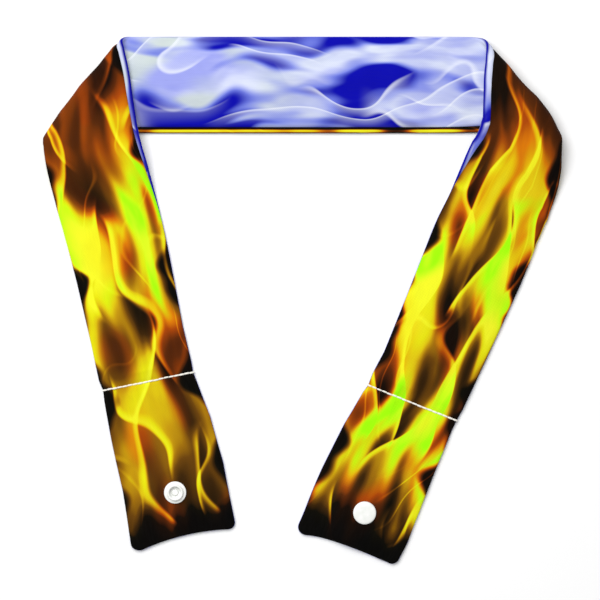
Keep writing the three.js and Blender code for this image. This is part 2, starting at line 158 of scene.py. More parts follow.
# The centre line of each arm before it is folded, walked in steps of a millimetre
WALK_STEP = 0.001
for arm in (left_arm, right_arm):
    walked = np.arange(0, arm["filled"] + arm["tab"] + WRAP_WIDTH, WALK_STEP)
    turns = np.radians(table_column(arm, "turn", walked))
    steps = np.stack([np.cos(turns), np.sin(turns)]) * WALK_STEP
    line = np.concatenate([np.zeros((2, 1)), np.cumsum(steps[:, 1:], axis=1)], axis=1)
    arm["walk"] = (walked, line[0], line[1], turns)


def thickness_at(section, across):
    reach = np.where(across > 0, section["inner"], section["outer"]) - NOSE
    share = np.minimum(np.abs(across) / reach, 1)
    return TAB_THICKNESS + (section["thickness"] - TAB_THICKNESS) * (1 - share**2)


# Places where the cloth lies a few millimetres off its pattern: the corner and the edges of the soft right
# fold sag inwards, and so do some other corners. Each is a place, the pull there and how far it spreads.
SOFT_SPOTS = (
    ((0.1400, 0.0890), (-0.0032, -0.0003), 0.012),
    ((0.1120, 0.1280), (-0.0011, -0.0012), 0.020),
    ((0.0850, 0.0740), (0.0017, 0.0), 0.020),
    ((0.0925, 0.0890), (0.0018, 0.0003), 0.008),
    ((0.0774, 0.0562), (0.0009, -0.0001), 0.010),
    ((0.1330, 0.0430), (-0.0018, 0.0006), 0.011),
    ((0.0509, -0.1420), (-0.0016, 0.0014), 0.008),
    ((-0.0031, -0.1231), (-0.0012, -0.0008), 0.007),
    ((-0.1415, 0.0890), (0.0009, -0.0002), 0.012),
)


# Where a point of the tube lies. It is given by its place along the band, across it and off the middle of
# its wall. Past the fold line the band rolls round a half cylinder and comes back on top of itself.
def lay(arm, section, along, across, offset):
    walked, line_x, line_y, turns = arm["walk"]
    turn = np.where(along > 0, np.interp(along, walked, turns), 0)
    flat_x = np.where(along > 0, np.interp(along, walked, line_x), along) - np.sin(turn) * across
    flat_y = np.where(along > 0, np.interp(along, walked, line_y), 0) + np.cos(turn) * across
    sine, cosine = math.sin(arm["angle"]), math.cos(arm["angle"])
    past = flat_x * sine + flat_y * cosine
    down = flat_x * cosine - flat_y * sine
    radius = arm["fold_lift"] / 2
    half = thickness_at(section, across) / 2
    roll = np.clip(past / radius, 0, math.pi)
    back = np.maximum(past - math.pi * radius, 0)
    reach = (radius - offset) * np.sin(roll) - back
    folded_x = HALF_MIDDLE + down * cosine + reach * sine
    folded_y = -down * sine + reach * cosine
    over = arm["fold_lift"] + (FILLED_THICKNESS + LAYER_GAP - arm["fold_lift"]) * smooth_rise(
        back, 0, FOLD_SETTLE_LENGTH)
    start = HALF_WIDTH + math.pi * radius * cosine
    lift = over * (1 - smooth_rise(-folded_y, start, start + DROP_LENGTH))
    away = np.hypot(along - arm["snap_place"], across - arm["snap_offset"])
    snap_rise = arm["snap_lift"] * (1 - smooth_rise(away, SNAP_PLATEAU, SNAP_PLATEAU + SNAP_RISE_LENGTH))
    rolled_z = half + radius * (1 - np.cos(roll)) + offset * np.cos(roll)
    x = np.where(past <= 0, HALF_MIDDLE + flat_x, folded_x)
    y = np.where(past <= 0, flat_y, folded_y)
    returned_z = lift + snap_rise + half - offset
    z = np.where(past <= 0, half + offset, np.where(back <= 0, rolled_z, returned_z))
    placed = np.stack([arm["side"] * x, y, z], axis=-1) + BAND_SHIFT
    for centre, pull, spread in SOFT_SPOTS:
        away = np.hypot(placed[..., 0] - centre[0], placed[..., 1] - centre[1])
        placed[..., :2] += np.exp(-((away / spread) ** 2))[..., None] * pull
    return placed


# The frame's origin is under the middle of the whole wrap: the right cap tells how far the band is moved
# for it.
BAND_SHIFT = np.zeros(3)
cap_low, cap_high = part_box("right_snap_cap")
cap_place = np.array(right_arm["snap_place"])
cap_across = np.array(right_arm["snap_offset"])
cap_at = lay(right_arm, section_at(right_arm, cap_place), cap_place, cap_across, np.array(0.0))
BAND_SHIFT = np.array([(cap_low[0] + cap_high[0]) / 2, (cap_low[1] + cap_high[1]) / 2, 0]) - cap_at
BAND_SHIFT[2] = 0.0

# Stations along an arm, close together where the cloth rolls over, is stitched or ends. Their lines lean
# with the fold, and stand square across the band at its middle and from the row of stitches on.
COARSE_STEP = 0.0017
FINE_STEP = 0.0006
FINE_BESIDE_ROLL = 0.004
FINE_BESIDE_ROW = 0.009
END_CLOSE = 0.0011
END_STEPS = 5
LEAN_MARGIN = 0.008
SQUARE_BEFORE_ROW = 0.014


def station_places(arm):
    rolled = math.pi * arm["fold_lift"] / 2 / math.sin(arm["angle"])
    end = arm["filled"] + arm["tab"]
    places = [-HALF_MIDDLE]
    while places[-1] < end - END_CLOSE:
        at = places[-1]
        near_roll = -FINE_BESIDE_ROLL < at < rolled + FINE_BESIDE_ROLL
        near_row = abs(at - arm["filled"]) < FINE_BESIDE_ROW
        near_end = at > end - CORNER_RADIUS
        places.append(at + (FINE_STEP if near_roll or near_row or near_end else COARSE_STEP))
    closing = np.sin(np.linspace(0, math.pi / 2, END_STEPS + 1))
    places = np.concatenate([places[:-1], end - END_CLOSE * (1 - closing)])
    lean = 1 / math.tan(arm["angle"])
    lean_in = smooth_rise(places, -HALF_MIDDLE, -LEAN_MARGIN)
    lean_out = 1 - smooth_rise(places, rolled + LEAN_MARGIN, arm["filled"] - SQUARE_BEFORE_ROW)
    return places, lean * np.where(places < 0, lean_in, lean_out)


def end_shape(arm, along, across):
    end = arm["filled"] + arm["tab"]
    share = across / HALF_WIDTH
    bow = arm["skew"] * share - arm["dip"] * np.maximum(1 - share**2, 0)
    return smooth_rise(along, end - HALF_WIDTH, end) * bow


def soft_noise(points, seed):
    values = [noise.noise(Vector((float(a), float(b), seed))) for a, b in points.reshape(-1, 2)]
    return np.array(values).reshape(points.shape[:-1])


# The relief of the cloth: lumps and dents of the filling, gathers beside a row of stitches, puckers along a
# seam, the seam's own groove and the pinch under the stitches. Sizes are along and across the band.
LUMP_SIZE = (0.026, 0.017)
LUMP_HEIGHT = 0.0008
DENT_SIZE = (0.009, 0.008)
DENT_HEIGHT = 0.00028
GATHER_SIZE = (0.03, 0.0042)
GATHER_HEIGHT = 0.0021
GATHER_START = 0.002
GATHER_FADE = 0.012
PUCKER_SIZE = (0.0065, 0.05)
PUCKER_HEIGHT = 0.0006
PUCKER_FADE = 0.0045
PUCKER_SEED = 41.0
CALM_BESIDE_SEAM = 0.003
SEAM_GROOVE = 0.00055
GROOVE_WIDTH = 0.0008
ROW_PINCH_ABOVE = 0.00035
ROW_PINCH_BELOW = 0.00065
PINCH_WIDTH = 0.0012


def cloth_relief(arm, along, across, face, from_seam, face_seed):
    places = np.stack([arm["side"] * (along + HALF_MIDDLE), across], axis=-1)
    puff = table_column(arm, "puff", along)
    lumps = soft_noise(places / LUMP_SIZE, face_seed) * LUMP_HEIGHT * (0.25 + puff)
    dents = soft_noise(places / DENT_SIZE, face_seed + 5) * DENT_HEIGHT * (0.4 + puff)
    row_distance = np.abs(along - arm["filled"])
    fade = np.exp(-row_distance / GATHER_FADE) * (1 - np.exp(-row_distance / GATHER_START))
    gathers = soft_noise(places / GATHER_SIZE, face_seed + 9) * fade * GATHER_HEIGHT
    settle = 1 - np.exp(-((from_seam / CALM_BESIDE_SEAM) ** 2))
    pucker_noise = soft_noise(places / PUCKER_SIZE, PUCKER_SEED)
    puckers = pucker_noise * np.exp(-from_seam / PUCKER_FADE) * PUCKER_HEIGHT
    groove = SEAM_GROOVE * np.exp(-((from_seam / GROOVE_WIDTH) ** 2))
    row_pinch = np.where(face > 0, ROW_PINCH_BELOW, ROW_PINCH_ABOVE)
    pinch = row_pinch * np.exp(-((row_distance / PINCH_WIDTH) ** 2))
    return (lumps + dents + gathers) * settle + puckers - groove - pinch


PANEL_COLUMNS = 56
CLOTH = 0.0007
ABOVE_TABLE = 0.00015
LAYERED_FROM = -0.06
LAYERED_TO = 0.075
SNAP_SWELL = 0.00025
SNAP_FLAT = 0.0055
SNAP_CLEAR = 0.009
PIN_BORE = 0.0013
CUT_WIDTH = WRAP_WIDTH - 2 * NOSE + 2 * NOSE_ARC
EVEN_SHARES = np.linspace(0, 1, PANEL_COLUMNS + 1)
COLUMN_SHARES = 0.6 * (0.5 - 0.5 * np.cos(EVEN_SHARES * math.pi)) + 0.4 * EVEN_SHARES


def panel_grid(arm, face_seed, turned_round):
    """Places and print coordinates of a panel on one half of the band, a row of points for each station."""
    places, skew = station_places(arm)
    section = {name: value[:, None] for name, value in section_at(arm, places).items()}
    near = section["inner"] if turned_round else section["outer"]
    far = section["outer"] if turned_round else section["inner"]
    near_face = NOSE_ARC + near - NOSE
    whole = near_face + far - NOSE + NOSE_ARC
    run = -section["seam"] + whole * COLUMN_SHARES[None, :]
    from_near = run <= near_face
    distance = np.where(from_near, run, whole - run)
    size = np.abs(distance)
    reach = np.where(from_near, near, far)
    on_nose = size < NOSE_ARC
    bend = np.minimum(size, NOSE_ARC) / NOSE
    nose_across = reach - NOSE + NOSE * np.cos(bend)
    flip = -1.0 if turned_round else 1.0
    flat_across = reach - size + NOSE_ARC - NOSE
    across = np.where(from_near, -flip, flip) * np.where(on_nose, nose_across, flat_across)
    half = thickness_at(section, across) / 2
    flat_offset = np.where(on_nose, NOSE * np.sin(bend), half)
    face = np.where(distance < 0, flip, -flip)
    along = places[:, None] - skew[:, None] * across + end_shape(arm, places[:, None], across)
    from_seam = np.minimum(run + section["seam"], whole - section["seam"] - run)
    relief = cloth_relief(arm, along, across, face, from_seam, face_seed)
    between_layers = (face > 0) & (along > LAYERED_FROM) & (along < LAYERED_TO)
    relief = np.where(between_layers, np.minimum(relief, 0), relief)
    snap_away = np.hypot(along - arm["snap_place"], across - arm["snap_offset"])
    clear_of_snap = smooth_rise(snap_away, SNAP_FLAT, SNAP_CLEAR)
    relief = relief * clear_of_snap * np.minimum(flat_offset / NOSE, 1)
    relief = relief + SNAP_SWELL * (1 - clear_of_snap)
    to_end = arm["filled"] + arm["tab"] - places[:, None]
    closing = np.sqrt(1 - np.clip((END_CLOSE - to_end) / END_CLOSE, 0, 1) ** 2)
    offset = face * np.maximum(flat_offset + relief, 0) * closing
    points = lay(arm, section, along, across, offset)
    inside = lay(arm, section, along, across, np.zeros_like(offset))
    points[..., 2] = np.maximum(points[..., 2], ABOVE_TABLE)
    cut_place = (run / whole - 0.5) * CUT_WIDTH * flip
    prints = np.stack([arm["side"] * (along + HALF_MIDDLE), cut_place], axis=-1)
    return points, inside, prints, snap_away > PIN_BORE


def make_panel(name, face_seed, turned_round):
    """One panel of the tube as an open sheet of cloth, thickened inwards."""
    left = panel_grid(left_arm, face_seed, turned_round)
    right = panel_grid(right_arm, face_seed, turned_round)
    points, inside, prints, keep = [
        np.concatenate([one[::-1], two[1:]], axis=0) for one, two in zip(left, right)]
    rows, columns = keep.shape
    index = np.arange(rows * columns).reshape(rows, columns)
    corners = [index[:-1, :-1], index[1:, :-1], index[1:, 1:], index[:-1, 1:]]
    corners = np.stack(corners, axis=-1).reshape(-1, 4)
    corners = corners[keep.reshape(-1)[corners].all(axis=1)]
    flat = points.reshape(-1, 3)
    outward = flat - inside.reshape(-1, 3)
    first_edge = flat[corners[:, 1]] - flat[corners[:, 0]]
    last_edge = flat[corners[:, 3]] - flat[corners[:, 0]]
    if (np.cross(first_edge, last_edge) * outward[corners[:, 0]]).sum() < 0:
        corners = corners[:, ::-1]
    mesh = bpy.data.meshes.new(name)
    mesh.from_pydata(flat.tolist(), [], corners.tolist())
    strip = mesh.uv_layers.new(name="strip")
    loops = np.zeros(len(mesh.loops), dtype=np.int32)
    mesh.loops.foreach_get("vertex_index", loops)
    strip.data.foreach_set("uv", prints.reshape(-1, 2)[loops].ravel())
    bm = bmesh.new()
    bm.from_mesh(mesh)
    loose = [vertex for vertex in bm.verts if not vertex.link_faces]
    bmesh.ops.delete(bm, geom=loose, context="VERTS")
    bm.to_mesh(mesh)
    bm.free()
    piece = bpy.data.objects.new(name, mesh)
    bpy.context.scene.collection.objects.link(piece)
    bpy.ops.object.select_all(action="DESELECT")
    bpy.context.view_layer.objects.active = piece
    piece.select_set(True)
    solidify = piece.modifiers.new("cloth", "SOLIDIFY")
    solidify.thickness = CLOTH
    solidify.offset = -1
    bpy.ops.object.modifier_apply(modifier="cloth")
    bpy.ops.object.shade_smooth()
    return piece


flame_cloth = make_panel("flame_cloth", 3.0, False)


# Nodes of a material: each is added with its inputs, which are values or other nodes' outputs.
def new_material(name):
    material = bpy.data.materials.new(name)
    material.use_nodes = True
    return material, material.node_tree, material.node_tree.nodes["Principled BSDF"]


def feed(tree, socket, value):
    if isinstance(value, bpy.types.NodeSocket):
        tree.links.new(value, socket)
    else:
        socket.default_value = value


def reckon(tree, operation, *values):
    node = tree.nodes.new("ShaderNodeMath")
    node.operation = operation
    for socket, value in zip(node.inputs, values):
        feed(tree, socket, value)
    return node.outputs[0]


def shifted(tree, value, uneven, amount):
    """A value moved by a noise, which is a half on average."""
    return reckon(tree, "MULTIPLY_ADD", reckon(tree, "SUBTRACT", uneven, 0.5), amount, value)


def rise(tree, value, low, high, start=0.0, end=1.0):
    node = tree.nodes.new("ShaderNodeMapRange")
    node.interpolation_type = "SMOOTHSTEP"
    ends = {"Value": value, "From Min": low, "From Max": high, "To Min": start, "To Max": end}
    for name, given in ends.items():
        feed(tree, node.inputs[name], given)
    return node.outputs["Result"]


def cloud(tree, along, across, length, width, seed, detail=1.0):
    """A soft noise with blots of a length and a width."""
    place = tree.nodes.new("ShaderNodeCombineXYZ")
    feed(tree, place.inputs["X"], reckon(tree, "DIVIDE", along, length))
    feed(tree, place.inputs["Y"], reckon(tree, "DIVIDE", across, width))
    feed(tree, place.inputs["Z"], seed)
    node = tree.nodes.new("ShaderNodeTexNoise")
    node.inputs["Scale"].default_value = 1
    node.inputs["Detail"].default_value = detail
    node.inputs["Roughness"].default_value = 0.45
    tree.links.new(place.outputs[0], node.inputs["Vector"])
    return node.outputs["Fac"]


MIX_SHARE = 0
MIX_FIRST = 6
MIX_SECOND = 7
MIX_RESULT = 2


def mix_colour(tree, share, first, second):
    node = tree.nodes.new("ShaderNodeMix")
    node.data_type = "RGBA"
    for number, value in ((MIX_SHARE, share), (MIX_FIRST, first), (MIX_SECOND, second)):
        feed(tree, node.inputs[number], value)
    return node.outputs[MIX_RESULT]


def colour_ramp(tree, value, stops):
    node = tree.nodes.new("ShaderNodeValToRGB")
    elements = node.color_ramp.elements
    elements[0].position, elements[0].color = stops[0][0], (*stops[0][1], 1)
    elements[1].position, elements[1].color = stops[-1][0], (*stops[-1][1], 1)
    for position, colour in stops[1:-1]:
        elements.new(position).color = (*colour, 1)
    feed(tree, node.inputs[0], value)
    return node.outputs["Color"]


def add_bump(tree, surface, height, strength, distance):
    bump = tree.nodes.new("ShaderNodeBump")
    bump.inputs["Strength"].default_value = strength
    bump.inputs["Distance"].default_value = distance
    feed(tree, bump.inputs["Height"], height)
    feed(tree, surface.inputs["Normal"], bump.outputs[0])


def map_places(tree, map_name):
    """The two coordinates of a point on its piece's flat map."""
    flat_map = tree.nodes.new("ShaderNodeUVMap")
    flat_map.uv_map = map_name
    split = tree.nodes.new("ShaderNodeSeparateXYZ")
    tree.links.new(flat_map.outputs["UV"], split.inputs[0])
    return split.outputs["X"], split.outputs["Y"]


def new_group(name, inputs, outputs):
    tree = bpy.data.node_groups.new(name, "ShaderNodeTree")
    for socket in inputs:
        tree.interface.new_socket(socket, in_out="INPUT", socket_type="NodeSocketFloat")
    for socket in outputs:
        tree.interface.new_socket(socket, in_out="OUTPUT", socket_type="NodeSocketFloat")
    return tree, tree.nodes.new("NodeGroupInput").outputs, tree.nodes.new("NodeGroupOutput").inputs


def place_group(tree, group, values):
    node = tree.nodes.new("ShaderNodeGroup")
    node.node_tree = group
    for name, value in values.items():
        feed(tree, node.inputs[name], value)
    return node.outputs


# Plain weave: warp and weft threads that pass over each other in turn, with slubs in the yarn
WEAVE_PITCH = 0.0011
weave, weave_in, weave_out = new_group("weave", ("Along", "Across", "Pitch"), ("Height", "Tone"))
weft = reckon(weave, "DIVIDE", weave_in["Along"], weave_in["Pitch"])
warp = reckon(weave, "DIVIDE", weave_in["Across"], weave_in["Pitch"])
weft_wave = reckon(weave, "SINE", reckon(weave, "MULTIPLY", weft, 2 * math.pi))
warp_wave = reckon(weave, "SINE", reckon(weave, "MULTIPLY", warp, 2 * math.pi))
crossing = reckon(weave, "MULTIPLY", weft_wave, warp_wave)
slubs = cloud(weave, weave_in["Along"], weave_in["Across"], 0.006, 0.0009, 5.0)
height = reckon(weave, "MULTIPLY_ADD", crossing, 0.35, reckon(weave, "MULTIPLY", slubs, 0.6))
feed(weave, weave_out["Height"], reckon(weave, "ADD", height, 0.35))
feed(weave, weave_out["Tone"], rise(weave, slubs, 0.25, 0.75))

# Wisps: curved lines at a spacing, each with a crisp edge and a veil that fades to one side of it
wisps, wisps_in, wisps_out = new_group(
    "wisps", ("Along", "Across", "Spacing", "Slope", "Sway", "Sway Length", "Seed"), ("Veil", "Thread"))
sway_width = reckon(wisps, "MULTIPLY", wisps_in["Sway Length"], 0.8)
sway_noise = cloud(
    wisps, wisps_in["Along"], wisps_in["Across"], wisps_in["Sway Length"], sway_width, wisps_in["Seed"])
slanted = reckon(wisps, "MULTIPLY_ADD", wisps_in["Along"], wisps_in["Slope"], wisps_in["Across"])
swayed = shifted(wisps, slanted, sway_noise, wisps_in["Sway"])
phase = reckon(wisps, "DIVIDE", swayed, wisps_in["Spacing"])
line_number = reckon(wisps, "FLOOR", phase)
past_line = reckon(wisps, "SUBTRACT", phase, line_number)
line_seed = reckon(wisps, "MULTIPLY", line_number, 7.31)
line_cloud = cloud(wisps, wisps_in["Along"], line_seed, 0.055, 1.0, wisps_in["Seed"], 0.0)
shown = rise(wisps, line_cloud, 0.44, 0.6)
edge_rise = rise(wisps, past_line, 0.0, 0.08)
fading = reckon(wisps, "POWER", reckon(wisps, "SUBTRACT", 1.0, past_line), 1.8)
veil = reckon(wisps, "MULTIPLY", edge_rise, fading)
feed(wisps, wisps_out["Veil"], reckon(wisps, "MULTIPLY", veil, shown))
crest = reckon(wisps, "MULTIPLY", edge_rise, rise(wisps, past_line, 0.07, 0.2, 1.0, 0.0))
feed(wisps, wisps_out["Thread"], reckon(wisps, "MULTIPLY", crest, shown))


def place_wisps(tree, along, across, spacing, slope, sway, sway_length, seed):
    return place_group(tree, wisps, {
        "Along": along, "Across": across, "Spacing": spacing, "Slope": slope, "Sway": sway,
        "Sway Length": sway_length, "Seed": seed})


# A plan gives a print's strength at some distances from the middle of the band, the left arm's below zero.
STRIP_SPAN = 0.8


def follow_plan(tree, along, plan):
    share = reckon(tree, "MULTIPLY_ADD", along, 1 / STRIP_SPAN, 0.5)
    return colour_ramp(tree, share, [(0.5 + place / STRIP_SPAN, (lot,) * 3) for place, lot in plan])


def weave_surface(tree, surface, along, across, colour):
    """The print's colour on the woven cotton, with the weave as bump, in the gloss and as painted shade in
    its hollows.
    """
    woven = place_group(tree, weave, {"Along": along, "Across": across, "Pitch": WEAVE_PITCH})
    weave_shaded = tree.nodes.new("ShaderNodeHueSaturation")
    feed(tree, weave_shaded.inputs["Color"], colour)
    # The weave's height lightens the colour on the threads and darkens it in the hollows between them:
    # painted shade, with partly the slubs' own tone
    feed(tree, weave_shaded.inputs["Value"], rise(tree, woven["Height"], 0.2, 1.3, 0.9, 1.04))
    feed(tree, surface.inputs["Base Color"], weave_shaded.outputs[0])
    feed(tree, surface.inputs["Roughness"], rise(tree, woven["Tone"], 0.0, 1.0, 0.78, 0.92))
    surface.inputs["Sheen Weight"].default_value = 0.01
    surface.inputs["Sheen Roughness"].default_value = 0.5
    surface.inputs["Specular IOR Level"].default_value = 0.05
    add_bump(tree, surface, woven["Height"], 0.6, 0.00012)


# The flame print: heat that runs along the strip in streaks, crossed by wisps, dark at ends and edges
LIME_PLAN = (
    (-0.39, 0.0), (-0.27, 0.0), (-0.24, 0.8), (-0.21, 1.0), (-0.16, 1.02), (-0.14, 0.0), (0.16, 0.1),
    (0.2, 0.93), (0.25, 0.68), (0.28, 0.25), (0.303, 1.15), (0.352, 1.2), (0.375, 0.0),
)
HEAT_PLAN = (
    (-0.375, 0.02), (-0.3635, 0.05), (-0.354, 0.45), (-0.335, 0.6), (-0.315, 0.6), (-0.29, 0.64),
    (-0.262, 0.8), (-0.22, 1.13), (-0.18, 1.15), (-0.15, 0.63), (-0.1135, 0.39), (0.1135, 0.34),
    (0.145, 0.4), (0.185, 0.94), (0.24, 1.02), (0.28, 0.74), (0.31, 1.05), (0.345, 1.16), (0.362, 0.9),
    (0.374, 0.4), (0.383, 0.06), (0.392, 0.02),
)
GOLDEN_STOPS = (
    (0.0, (0.001, 0.001, 0.001)), (0.17, (0.004, 0.003, 0.001)), (0.29, (0.04, 0.016, 0.002)),
    (0.4, (0.13, 0.05, 0.003)), (0.49, (0.3, 0.135, 0.003)), (0.57, (0.5, 0.28, 0.004)),
    (0.64, (0.64, 0.48, 0.005)), (0.76, (0.7, 0.67, 0.005)), (1.0, (0.8, 0.82, 0.02)),
)
RUSTY_STOPS = (
    (0.0, (0.001, 0.001, 0.001)), (0.17, (0.008, 0.003, 0.001)), (0.3, (0.09, 0.018, 0.002)),
    (0.44, (0.36, 0.055, 0.002)), (0.56, (0.62, 0.17, 0.002)), (0.7, (0.71, 0.46, 0.003)),
    (1.0, (0.8, 0.77, 0.015)),
)
LIME = (0.33, 0.92, 0.003, 1)
CALM_HEAT = 0.74

flame_print, tree, surface = new_material("flame_print_cotton")
along, across = map_places(tree, "strip")
swayed = shifted(tree, across, cloud(tree, along, across, 0.09, 0.06, 1.7), 0.05)
streaks = rise(tree, cloud(tree, along, swayed, 0.07, 0.0125, 4.2, 1.3), 0.3, 0.68)
first_wisps = place_wisps(
    tree, along, across, spacing=0.019, slope=0.16, sway=0.06, sway_length=0.07, seed=2.0)
second_wisps = place_wisps(
    tree, along, across, spacing=-0.023, slope=-0.13, sway=0.07, sway_length=0.08, seed=8.5)
fine_wisps = place_wisps(
    tree, along, across, spacing=0.012, slope=-0.05, sway=0.08, sway_length=0.06, seed=15.0)
uneven_along = shifted(tree, along, cloud(tree, along, across, 0.06, 0.011, 33.0), 0.038)
heat_plan = follow_plan(tree, uneven_along, HEAT_PLAN)
second_veil = reckon(tree, "MULTIPLY", second_wisps["Veil"], 0.45)
veils = reckon(tree, "MULTIPLY_ADD", first_wisps["Veil"], 0.5, second_veil)
heat = reckon(tree, "ADD", reckon(tree, "MULTIPLY_ADD", streaks, 0.74, 0.14), veils)

# The folds and the left tab are calmer than the rest
fold_calm = rise(tree, reckon(tree, "ABSOLUTE", along), 0.19, 0.15, 0.0, 0.38)
calm = reckon(tree, "ADD", fold_calm, rise(tree, along, -0.27, -0.3, 0.0, 0.36))
heat = reckon(tree, "MULTIPLY_ADD", reckon(tree, "SUBTRACT", CALM_HEAT, heat), calm, heat)
heat = reckon(tree, "MULTIPLY", heat, heat_plan)

# Both edges are dark, further in at some places, and one is turned under the middle as a bright strip
edge_noise = cloud(tree, along, across, 0.03, 0.2, 6.0)
edge_place = reckon(tree, "MULTIPLY_ADD", edge_noise, 0.04, reckon(tree, "ABSOLUTE", across))
heat = reckon(tree, "MULTIPLY", heat, rise(tree, edge_place, 0.0424, 0.0484, 1.0, 0.12))
below_edge = reckon(tree, "MULTIPLY", across, -1.0)
strip_heat = rise(tree, cloud(tree, along, 0.0, 0.04, 1.0, 30.0), 0.36, 0.56, 0.2, 0.98)
strip_end = rise(tree, below_edge, 0.0287, 0.0297, 1.0, 0.05)
strip_heat = reckon(tree, "MULTIPLY", strip_heat, strip_end)
turned_under = rise(tree, below_edge, 0.0268, 0.0282)
heat = reckon(tree, "MULTIPLY_ADD", reckon(tree, "SUBTRACT", strip_heat, heat), turned_under, heat)

threads = reckon(tree, "ADD", first_wisps["Thread"], second_wisps["Thread"])
threads = reckon(tree, "MULTIPLY_ADD", fine_wisps["Thread"], 0.6, threads)
threads = reckon(tree, "MULTIPLY", threads, rise(tree, heat_plan, 0.05, 0.4))
lit = reckon(tree, "MULTIPLY_ADD", threads, 0.23, heat)
rust = rise(tree, cloud(tree, along, swayed, 0.05, 0.016, 27.0, 0.0), 0.46, 0.64)
rust = reckon(tree, "MAXIMUM", rust, reckon(tree, "MULTIPLY", fold_calm, 2.0))
golden = colour_ramp(tree, lit, GOLDEN_STOPS)
flame_colour = mix_colour(tree, rust, golden, colour_ramp(tree, lit, RUSTY_STOPS))
lime_plan = follow_plan(tree, uneven_along, LIME_PLAN)
lime_cloud = cloud(tree, along, swayed, 0.05, 0.022, 12.0, 0.0)
lime_cloud = reckon(tree, "MULTIPLY_ADD", lime_plan, 0.4, lime_cloud)
lime = reckon(tree, "MULTIPLY", rise(tree, heat, 0.6, 0.95), rise(tree, lime_cloud, 0.76, 0.95))
lime_streaks = rise(tree, cloud(tree, along, swayed, 0.02, 0.006, 21.0), 0.25, 0.6, 0.6, 1.0)
lime = reckon(tree, "MULTIPLY", lime, lime_streaks)
weave_surface(tree, surface, along, across, mix_colour(tree, lime, flame_colour, LIME))
flame_cloth.data.materials.append(flame_print)
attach(flame_cloth, "root")
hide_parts("flame_panel")


# The smoke panel: the inner strip of printed cotton, the upper side of the middle stretch. The two seams
# sit a little off the edges, so each panel wraps round onto the other's face. The plan says how many dark
# patches the smoke has along the band.
SMOKE_PLAN = (
    (-0.13, 0.6), (-0.1, 0.0), (-0.065, 0.1), (-0.045, 0.95), (0.0, 0.95), (0.02, 1.0), (0.045, 1.0),
    (0.062, 0.25), (0.1, 0.1), (0.13, 0.6),
)
DULL_BLUE = (0.3, 0.33, 0.74, 1)
PALE_BLUE = (0.64, 0.68, 0.85, 1)
PALE_GREY = (0.52, 0.59, 0.54, 1)
MIDDLE_BLUE = (0.13, 0.17, 0.66, 1)
DEEP_BLUE = (0.003, 0.003, 0.36, 1)
VEIL_BLUE = (0.64, 0.68, 0.81, 1)
THREAD_WHITE = (0.84, 0.86, 0.9, 1)
# Navy painted in a thin line along the rolled edge of each panel: painted shade where the band turns round
ROLLED_EDGE_SHADE_BLUE = (0.005, 0.004, 0.3, 1)
BLACK = (0, 0, 0)
WHITE = (1, 1, 1)
ROLLED_EDGE_SHADE_STOPS = (
    (0.0, BLACK), (0.665, BLACK), (0.7, WHITE), (0.725, WHITE), (0.755, BLACK), (1.0, BLACK),
)
ROLLED_EDGE_SHADE_SCALE = 25.0

smoke_cloth = make_panel("smoke_cloth", 23.0, True)
smoke_print, tree, surface = new_material("smoke_print_cotton")
along, across = map_places(tree, "strip")
swayed = shifted(tree, across, cloud(tree, along, across, 0.07, 0.05, 3.1), 0.05)
haze = rise(tree, cloud(tree, along, swayed, 0.036, 0.013, 7.7, 2.0), 0.35, 0.68)
smoke_colour = mix_colour(tree, haze, DULL_BLUE, PALE_BLUE)
tint_cloud = rise(tree, cloud(tree, along, across, 0.03, 0.02, 5.5, 0.0), 0.32, 0.56)
tint = reckon(tree, "MULTIPLY", rise(tree, along, 0.03, -0.08, 0.2, 1.0), tint_cloud)
smoke_colour = mix_colour(tree, reckon(tree, "MULTIPLY", tint, 0.85), smoke_colour, PALE_GREY)
patches = cloud(tree, along, swayed, 0.042, 0.0125, 2.6)
patches = reckon(tree, "ADD", patches, rise(tree, across, -0.012, -0.0225, 0.0, 0.14))
planned_patches = rise(tree, follow_plan(tree, along, SMOKE_PLAN), 0.0, 1.0, -0.13, 0.04)
patches = reckon(tree, "ADD", patches, planned_patches)
smoke_colour = mix_colour(tree, rise(tree, patches, 0.42, 0.57, 0, 0.95), smoke_colour, MIDDLE_BLUE)
smoke_colour = mix_colour(tree, rise(tree, patches, 0.52, 0.63), smoke_colour, DEEP_BLUE)
first_wisps = place_wisps(
    tree, along, across, spacing=0.017, slope=0.2, sway=0.07, sway_length=0.05, seed=4.0)
second_wisps = place_wisps(
    tree, along, across, spacing=-0.013, slope=-0.1, sway=0.08, sway_length=0.06, seed=9.0)
second_veil = reckon(tree, "MULTIPLY", second_wisps["Veil"], 0.5)
veils = reckon(tree, "MULTIPLY_ADD", first_wisps["Veil"], 0.55, second_veil)
threads = reckon(tree, "ADD", first_wisps["Thread"], second_wisps["Thread"])
smoke_colour = mix_colour(tree, veils, smoke_colour, VEIL_BLUE)
smoke_colour = mix_colour(tree, reckon(tree, "MULTIPLY", threads, 0.4), smoke_colour, THREAD_WHITE)
# A navy line painted along the rolled edge, where the panel turns round onto the other face: painted shade
# of the rolled edge
wobble = reckon(tree, "MULTIPLY_ADD", cloud(tree, along, 0.0, 0.02, 1.0, 16.0), 0.0016, across)
rolled_edge_shade = colour_ramp(tree, reckon(tree, "MULTIPLY", wobble, ROLLED_EDGE_SHADE_SCALE), ROLLED_EDGE_SHADE_STOPS)
weave_surface(tree, surface, along, across, mix_colour(tree, rolled_edge_shade, smoke_colour, ROLLED_EDGE_SHADE_BLUE))
smoke_cloth.data.materials.append(smoke_print)
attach(smoke_cloth, "root")
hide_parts("smoke_panel")


# The two rows of stitches across the band, of thick cream thread. They close the filled stretch towards
# each tab. The thread shows on both faces, pressed flat on the underside, and its ends stand out a little
# past the edges.
STITCH_LENGTH = 0.0029
STITCH_BLUNTNESS = 0.35
STITCH_DIP = 0.0002
STITCH_OVERLAP = 1.06
STITCH_WOBBLE = 0.00025
THREAD_RADIUS = 0.0005
THREAD_UNEVEN = 0.14
THREAD_ABOVE_TABLE = 0.00005
TAIL_OUT = 0.0007
ROW_SINK = 0.00032
UNDERSIDE_PRESS = 0.7


